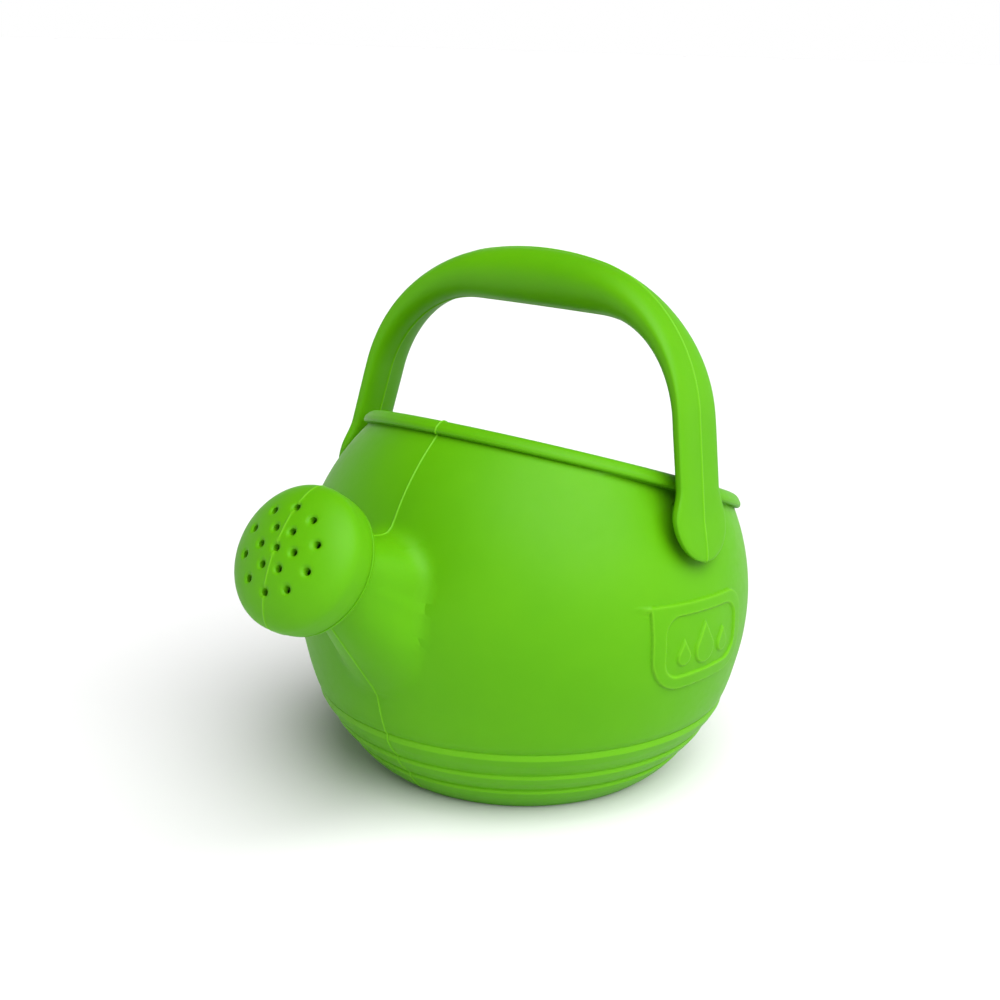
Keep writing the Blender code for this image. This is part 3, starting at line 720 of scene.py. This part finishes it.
def boss_pad(sign):
    """Round pad inside the bowl at a pivot: flat in front, rooted in the wall behind."""
    edge = BOSS_FACE + 0.0006
    front = ((0.0, BOSS_FACE), (BOSS_RADIUS - 0.0007, BOSS_FACE),
             (BOSS_RADIUS - 0.0002, BOSS_FACE + 0.0002), (BOSS_RADIUS, edge))
    bm = bmesh.new()
    rings = []
    for radius, place in front[1:] + ((BOSS_RADIUS, None), (BOSS_RADIUS * 0.5, None)):
        ring = []
        for i in range(ROUND_STEPS):
            angle = 2.0 * math.pi * i / ROUND_STEPS
            x = PIVOT.x + radius * math.cos(angle)
            z = PIVOT.z + radius * math.sin(angle)
            side = wall_middle(x, z) if place is None else place
            ring.append(bm.verts.new((x, sign * side, z)))
        rings.append(ring)
    for ring_a, ring_b in zip(rings, rings[1:]):
        bridge(bm, ring_a, ring_b)
    cap(bm, rings[0], bm.verts.new((PIVOT.x, sign * BOSS_FACE, PIVOT.z)))
    cap(bm, rings[-1], bm.verts.new((PIVOT.x, sign * wall_middle(PIVOT.x, PIVOT.z), PIVOT.z)))
    return bm


def make_body(material):
    body = finish_mesh("bowl_and_spout", body_mesh(), material, "can", "can_body",
                       38.0)
    for name, sign in (("left", 1.0), ("right", -1.0)):
        boolean(body, "boss_" + name, boss_pad(sign), "UNION")
        start, radius = BOSS_FACE - 0.002, STUD_RADIUS + STUD_PLAY
        hole = turned(((start, 0.0), (start, radius), (WALL_HOLE_END, radius),
                       (WALL_HOLE_END, 0.0)), PIVOT, SIDE * sign, FORWARD, HOLE_STEPS)
        boolean(body, "stud_hole_" + name, hole, "DIFFERENCE")
    return body


# ---------------------------------------------------------------- rose
def hole_places():
    """Centres of the rose's holes, as (across, side)."""
    places = []
    for radius, count, start in HOLE_RINGS:
        for i in range(count):
            angle = math.radians(start + 360.0 * i / count)
            places.append(Vector((radius * math.cos(angle), radius * math.sin(angle))))
    return places


def rim_angles():
    """Angles round the rose, close together beside the split."""
    near = [place / FACE_DISC for place in SEAM_PLACES]
    half = [0.0] + near + steps_between(0.05, math.pi - 0.05, math.radians(3.0))
    half += [math.pi - 0.05] + [math.pi - angle for angle in near[::-1]]
    return half + [angle + math.pi for angle in half]


def face_triangles():
    """The flat plan of the pierced face: points, triangles, rim loop and one loop for each hole."""
    places = hole_places()
    points, edges, loops = [], [], []

    def add_circle(centre, radius, angles):
        first = len(points)
        for i, angle in enumerate(angles):
            points.append(centre + radius * Vector((math.cos(angle), math.sin(angle))))
            edges.append((first + i, first + (i + 1) % len(angles)))
        return list(range(first, first + len(angles)))

    rim = add_circle(Vector((0.0, 0.0)), FACE_DISC, rim_angles())
    turn = steps_between(0.0, 2.0 * math.pi, 2.0 * math.pi / 20)
    for place in places:
        loops.append(add_circle(place, HOLE_RADIUS, turn))
        for radius in (HOLE_RADIUS + 0.00010, mix(HOLE_RADIUS, DISH_RADIUS, 0.45),
                       mix(HOLE_RADIUS, DISH_RADIUS, 0.75), DISH_RADIUS):
            add_circle(place, radius, turn)

    def clear(point, margin):
        return all((point - place).length > DISH_RADIUS + margin for place in places)

    spacing = 0.0009
    reach = int(FACE_DISC / spacing) + 1
    for i in range(-reach, reach + 1):
        across = i * spacing
        for offset in (0.0,) + SEAM_PLACES:
            for side in {offset, -offset}:
                point = Vector((across, side))
                if point.length < FACE_DISC - 0.0003 and clear(point, 0.0002):
                    points.append(point)
        for j in range(1, reach + 1):
            for side in (j * spacing, -j * spacing):
                point = Vector((across + (0.5 * spacing if j % 2 else 0.0), side))
                if point.length < FACE_DISC - 0.0004 and clear(point, 0.0003):
                    points.append(point)
    result = geometry.delaunay_2d_cdt(points, edges, [], 0, 1e-7)
    flat, faces, origins = result[0], result[2], result[3]
    new_index = {}
    for index, sources in enumerate(origins):
        for source in sources:
            new_index[source] = index
    kept = []
    for face in faces:
        middle = sum((flat[i] for i in face), Vector((0.0, 0.0))) / len(face)
        if all((middle - place).length > HOLE_RADIUS * 0.97 for place in places):
            kept.append(tuple(face))
    rim = [new_index[i] for i in rim]
    loops = [[new_index[i] for i in loop] for loop in loops]
    return flat, kept, rim, loops


def dome(radius, reach, depth):
    return ROSE_MIDDLE - depth * math.sqrt(max(1.0 - (radius / reach) ** 2, 0.0))


def dish(point, places):
    """How far the skin sinks towards the nearest hole."""
    away = min((point - place).length for place in places)
    if away >= DISH_RADIUS:
        return 0.0
    share = (DISH_RADIUS - away) / (DISH_RADIUS - HOLE_RADIUS)
    lip = 0.00010 * smoothstep((HOLE_RADIUS + 0.00012 - away) / 0.00012)
    return DISH_DEPTH * smoothstep(share) + lip


def rose_point(across, side, back):
    return FACE_POINT - AXIS * back + ACROSS * across + SIDE * side


def side_rings():
    """Turned part of the rose from the face's edge, round the back, to the chamber: (back, r)."""
    rings = []
    for i in range(1, 15):
        angle = mix(math.asin(FACE_DISC / ROSE_RADIUS), math.pi / 2.0, i / 14)
        rings.append((ROSE_MIDDLE - ROSE_DOME * math.cos(angle), ROSE_RADIUS * math.sin(angle)))
    back = [
        (ROSE_MIDDLE, ROSE_RADIUS), (0.0120, ROSE_RADIUS - 0.0001), (0.0137, ROSE_RADIUS - 0.0003),
        (0.0138, ROSE_RADIUS - 0.00085), (0.0141, ROSE_RADIUS - 0.00085),
        (0.0142, ROSE_RADIUS - 0.0004), (0.0147, ROSE_RADIUS - 0.0005),
        (ROSE_DEPTH - 0.0001, ROSE_RADIUS - 0.0006), (ROSE_DEPTH, ROSE_RADIUS - 0.0020),
        (ROSE_DEPTH, SOCKET_RADIUS), (SPIGOT_END - 0.0006, SOCKET_RADIUS),
        (SPIGOT_END - 0.0006, SOCKET_RADIUS + SOCKET_WALL),
        (ROSE_DEPTH - ROSE_WALL, SOCKET_RADIUS + SOCKET_WALL),
        (ROSE_DEPTH - ROSE_WALL, ROSE_RADIUS - ROSE_WALL - 0.0002),
        (ROSE_MIDDLE, ROSE_RADIUS - ROSE_WALL),
    ]
    rings += rounded(back, 0.0005, 4)[1:]
    inner = ROSE_RADIUS - ROSE_WALL
    depth = ROSE_DOME - ROSE_WALL
    for i in range(1, 6):
        angle = mix(math.pi / 2.0, math.asin(FACE_DISC / inner), i / 6)
        rings.append((ROSE_MIDDLE - depth * math.cos(angle), inner * math.sin(angle)))
    return rings


def rose_mesh():
    flat, faces, rim, loops = face_triangles()
    places = hole_places()
    bm = bmesh.new()
    bm.verts.layers.float.new("ridge_highlight")
    inner = ROSE_RADIUS - ROSE_WALL
    outside, inside = [], []
    for point in flat:
        sunk = dish(point, places)
        back = dome(point.length, ROSE_RADIUS, ROSE_DOME)
        outside.append(bm.verts.new(rose_point(point.x, point.y, back + sunk)))
        back = dome(point.length, inner, ROSE_DOME - ROSE_WALL)
        inside.append(bm.verts.new(rose_point(point.x, point.y, back)))
    for a, b, c in faces:
        bm.faces.new((outside[a], outside[b], outside[c]))
        bm.faces.new((inside[c], inside[b], inside[a]))
    for loop in loops:
        bridge(bm, [outside[i] for i in loop], [inside[i] for i in loop])
    angles = [math.atan2(flat[i].y, flat[i].x) for i in rim]
    last = [outside[i] for i in rim]
    skin = list(outside)
    rings = side_rings()
    for number, (back, radius) in enumerate(rings):
        ring = [bm.verts.new(rose_point(radius * math.cos(a), radius * math.sin(a), back))
                for a in angles]
        bridge(bm, last, ring)
        last = ring
        if back < ROSE_DEPTH - 0.0008 and number < ROSE_SKIN_RINGS:
            skin += ring
    bridge(bm, last, [inside[i] for i in rim])
    bmesh.ops.recalc_face_normals(bm, faces=bm.faces)
    bm.normal_update()
    raise_seam(bm, skin, lambda co: co.y, ROSE_SEAM)
    return bm


def make_rose(material):
    return finish_mesh("sprinkler_rose", rose_mesh(), material, "rose", "rose",
                       40.0)


# ---------------------------------------------------------------- handle
def half_arch(foot, slope, bend, crown, top):
    """One side of the arch in its own plane: a leaning line, a bend and a shallow crown."""
    start = Vector(foot)
    upward = Vector((-math.sin(slope), math.cos(slope)))
    inward = Vector((-math.cos(slope), -math.sin(slope)))
    crown_centre = Vector((0.0, top - crown))
    reach = start + inward * bend - crown_centre
    along = reach.dot(upward)
    run = -along + math.sqrt(along * along - reach.length_squared + (crown - bend) ** 2)
    bend_centre = start + upward * run + inward * bend
    bend_start = math.atan2(-inward.y, -inward.x)
    spread = bend_centre - crown_centre
    bend_end = math.atan2(spread.y, spread.x)

    def place(share):
        if share <= LEG_SHARE:
            return start + upward * (run * share / LEG_SHARE)
        if share <= CROWN_SHARE:
            angle = mix(bend_start, bend_end, (share - LEG_SHARE) / (CROWN_SHARE - LEG_SHARE))
            return bend_centre + bend * Vector((math.cos(angle), math.sin(angle)))
        angle = mix(bend_end, math.pi / 2.0, (share - CROWN_SHARE) / (1.0 - CROWN_SHARE))
        return crown_centre + crown * Vector((math.cos(angle), math.sin(angle)))

    return place


OUTER_LINE = half_arch((OUTER_FOOT, 0.0), OUTER_SLOPE, OUTER_BEND, OUTER_CROWN, HANDLE_TOP)
INNER_LINE = half_arch((INNER_FOOT, 0.0), INNER_SLOPE, INNER_BEND, INNER_CROWN, GRIP_UNDERSIDE)


def edge_run(half_width, power):
    """(across, rise) from the widest point to the split, with points close beside the split."""
    run = []
    for degrees in (0.0, 2.5, 5.0, 8.0) + tuple(range(12, 84, 5)):
        c, s = math.cos(math.radians(degrees)), math.sin(math.radians(degrees))
        run.append((c ** (2.0 / power) * half_width, s ** (2.0 / power)))
    spare = run[-1][0]
    for place, limit in zip((SEAM_MARGIN,) + SEAM_PLACES[::-1], (0.8, 0.6, 0.4, 0.2)):
        across = min(place, spare * limit)
        run.append((across, (1.0 - (across / half_width) ** power) ** (1.0 / power)))
    return run + [(0.0, 1.0)]


def around(half_width, outer_power, inner_power):
    """The whole way round the strap's section, as (across, rise, whether it is the outer side)."""
    outer = edge_run(half_width, outer_power)
    inner = edge_run(half_width, inner_power)
    places = [(across, rise, True) for across, rise in outer]
    places += [(-across, rise, True) for across, rise in outer[-2::-1]]
    places += [(-across, rise, False) for across, rise in inner[1:]]
    return places + [(across, rise, False) for across, rise in inner[-2:0:-1]]


def strap_point(across, outer, inner, split, rise, is_outer, toe):
    middle = inner.lerp(outer, 1.0 - split)
    line = middle.lerp(outer if is_outer else inner, rise)
    return Vector((across, line.x - across * toe, line.y))


def tab_sections():
    """The round end below the pivot, from its tip upwards. Its edge is rounded all the way."""
    rows = []
    for degrees in (11, 15, 20, 26, 33, 41, 50, 59, 68, 76, 83):
        a = math.radians(degrees)
        drop = -TAB_DROP * math.cos(a)
        outer = Vector((OUTER_FOOT - drop * TAB_TILT_OUTSIDE, drop))
        inner = Vector((INNER_FOOT - drop * TAB_TILT_INSIDE, drop))
        row = []
        for across, _, is_outer in around(TAB_HALF_WIDTH * math.sin(a), OUTER_POWER, INNER_POWER):
            power = OUTER_POWER if is_outer else INNER_POWER
            reach = min(math.hypot(across / TAB_HALF_WIDTH, math.cos(a)), 1.0)
            rise = (1.0 - reach ** power) ** (1.0 / power)
            row.append(strap_point(across, outer, inner, TAB_SPLIT, rise, is_outer, LEG_TOE))
        rows.append(row)
    return rows


def arch_sections(steps):
    """From the pivot up to the middle of the grip."""
    rows = []
    for i in range(steps + 1):
        share = i / steps
        outer, inner = OUTER_LINE(share), INNER_LINE(share)
        tab = 1.0 - smoothstep(inner.y / TAB_NECK)
        grip = smoothstep((share - 0.30) / 0.45)
        half_width = mix(mix(LEG_HALF_WIDTH, TAB_HALF_WIDTH, tab), GRIP_HALF_WIDTH, grip)
        split = mix(TAB_SPLIT, 0.50, grip)
        places = around(half_width, mix(OUTER_POWER, GRIP_POWER, grip),
                        mix(INNER_POWER, GRIP_POWER, grip))
        rows.append([strap_point(across, outer, inner, split, rise, is_outer,
                                 LEG_TOE * (1.0 - grip)) for across, rise, is_outer in places])
    return rows


def handle_mesh():
    foot = mix(OUTER_FOOT + TAB_DROP * TAB_TILT_OUTSIDE, INNER_FOOT + TAB_DROP * TAB_TILT_INSIDE,
               TAB_SPLIT)
    tab_tip = Vector((0.0, foot, -TAB_DROP))
    left = tab_sections() + arch_sections(ARCH_STEPS)
    right = [[Vector((p.x, -p.y, p.z)) for p in row] for row in left[-2::-1]]
    bm = bmesh.new()
    bm.verts.layers.float.new("ridge_highlight")
    rings = [[bm.verts.new(p) for p in row] for row in left + right]
    for ring_a, ring_b in zip(rings, rings[1:]):
        bridge(bm, ring_a, ring_b)
    cap(bm, rings[0], bm.verts.new(tab_tip))
    cap(bm, rings[-1], bm.verts.new((tab_tip.x, -tab_tip.y, tab_tip.z)))
    bmesh.ops.recalc_face_normals(bm, faces=bm.faces)
    bm.normal_update()
    raise_seam(bm, bm.verts, lambda co: co.x)
    turn = Matrix.Translation(PIVOT) @ Matrix.Rotation(HANDLE_LEAN, 4, "Y")
    bmesh.ops.transform(bm, matrix=turn, verts=bm.verts)
    return bm


def make_handle(material):
    handle = finish_mesh("carrying_handle", handle_mesh(), material, "handle", "handle",
                         55.0)
    for name, sign in (("left", 1.0), ("right", -1.0)):
        shank = STUD_RADIUS + STUD_PLAY
        disc = STUD_DISC_RADIUS + STUD_PLAY
        start, end = STUD_DISC[0] - STUD_PLAY, STUD_DISC[1] + STUD_PLAY
        pocket = turned(((POCKET_START, 0.0), (POCKET_START, shank), (start, shank), (start, disc),
                         (end, disc), (end, 0.0)), PIVOT, SIDE * sign, FORWARD, HOLE_STEPS)
        boolean(handle, "stud_pocket_" + name, pocket, "DIFFERENCE")
    return handle


# ---------------------------------------------------------------- studs
def make_stud(side, sign, material):
    head = BOSS_FACE - STUD_PLAY
    top = head - STUD_HEAD_THICKNESS
    corners = [
        (top + 0.0001, 0.0), (top + 0.0001, 0.0016), (top, 0.0020), (top, 0.0048),
        (top + 0.0007, STUD_HEAD_RADIUS), (head, STUD_HEAD_RADIUS), (head, STUD_RADIUS),
        (STUD_DISC[0], STUD_RADIUS), (STUD_DISC[0], STUD_DISC_RADIUS),
        (STUD_DISC[1], STUD_DISC_RADIUS), (STUD_DISC[1], 0.0),
    ]
    bm = turned(rounded(corners, 0.00035, 4), PIVOT, SIDE * sign, FORWARD, ROUND_STEPS)
    return finish_mesh("stud_" + side, bm, material, "handle", "pivot_stud_" + side,
                       40.0)


# ---------------------------------------------------------------- floor, lights and camera
def plain(name, colour, roughness):
    material = bpy.data.materials.new(name)
    material.use_nodes = True
    shader = material.node_tree.nodes["Principled BSDF"]
    shader.inputs["Base Color"].default_value = colour
    shader.inputs["Roughness"].default_value = roughness
    shader.inputs["Specular IOR Level"].default_value = 0.2
    return material


def make_floor():
    bm = bmesh.new()
    half = 60.0
    corners = [bm.verts.new((x * half, y * half, -0.0001)) for x, y in
               ((-1, -1), (1, -1), (1, 1), (-1, 1))]
    bm.faces.new(corners)
    mesh = bpy.data.meshes.new("floor")
    bm.to_mesh(mesh)
    bm.free()
    mesh.materials.append(plain("floor_paper", (0.76, 0.76, 0.76, 1.0), 0.9))
    floor = bpy.data.objects.new("floor", mesh)
    bpy.context.scene.collection.objects.link(floor)


def make_light(name, direction, strength, spread):
    """A far, wide studio light: spread is how many degrees of the room it fills."""
    lamp = bpy.data.lights.new(name, "SUN")
    lamp.energy = strength
    lamp.angle = math.radians(spread)
    light = bpy.data.objects.new(name, lamp)
    light.rotation_mode = "QUATERNION"
    light.rotation_quaternion = Vector(direction).to_track_quat("Z", "Y")
    bpy.context.scene.collection.objects.link(light)


def make_world():
    world = bpy.data.worlds.new("studio")
    world.use_nodes = True
    nodes, links = world.node_tree.nodes, world.node_tree.links
    background = nodes["Background"]
    place = nodes.new("ShaderNodeTexCoord")
    height = nodes.new("ShaderNodeSeparateXYZ")
    links.new(place.outputs["Generated"], height.inputs["Vector"])
    fade = nodes.new("ShaderNodeMapRange")
    fade.interpolation_type = "SMOOTHSTEP"
    fade.inputs["From Min"].default_value = 0.22
    fade.inputs["From Max"].default_value = 0.50
    fade.inputs["To Min"].default_value = 1.0
    fade.inputs["To Max"].default_value = 0.03
    links.new(height.outputs["Z"], fade.inputs["Value"])
    background.inputs["Color"].default_value = (1.0, 1.0, 1.0, 1.0)
    links.new(fade.outputs["Result"], background.inputs["Strength"])
    bpy.context.scene.world = world
    bpy.context.scene.view_settings.view_transform = "Standard"


def make_camera():
    """Looks down a little from the front left, where the spout and the plaque both show."""
    place = Vector((0.3415, 0.2560, 0.1911))
    turn = math.radians(36.86)
    drop = math.radians(18.47)
    roll = math.radians(1.61)
    back = Vector((math.cos(drop) * math.cos(turn), math.cos(drop) * math.sin(turn),
                   math.sin(drop)))
    right = Vector((-math.sin(turn), math.cos(turn), 0.0))
    up = back.cross(right)
    right_rolled = right * math.cos(roll) + up * math.sin(roll)
    up_rolled = up * math.cos(roll) - right * math.sin(roll)
    camera_data = bpy.data.cameras.new("camera")
    camera_data.sensor_width = 36.0
    camera_data.lens = 57.93
    camera_data.shift_x = -0.0234
    camera_data.shift_y = 0.0852
    camera_data.clip_start = 0.01
    camera_data.clip_end = 200.0
    camera = bpy.data.objects.new("camera", camera_data)
    axes = Matrix((right_rolled, up_rolled, back)).transposed().to_4x4()
    camera.matrix_world = Matrix.Translation(place) @ axes
    bpy.context.scene.collection.objects.link(camera)
    bpy.context.scene.camera = camera


def main():
    green = silicone("silicone_green_satin", (0.090, 0.340, 0.0006, 1.0),
                     (0.082, 0.321, 0.0005, 1.0), 0.25)
    dark = silicone("stud_green_satin", (0.070, 0.300, 0.002, 1.0),
                    (0.062, 0.275, 0.002, 1.0), 0.15)
    make_body(green)
    make_rose(green)
    make_handle(green)
    make_stud("left", 1.0, dark)
    make_stud("right", -1.0, dark)
    make_floor()
    make_world()
    make_light("key", (0.16, 0.70, 1.05), 5.1, 70.0)
    make_camera()


main()
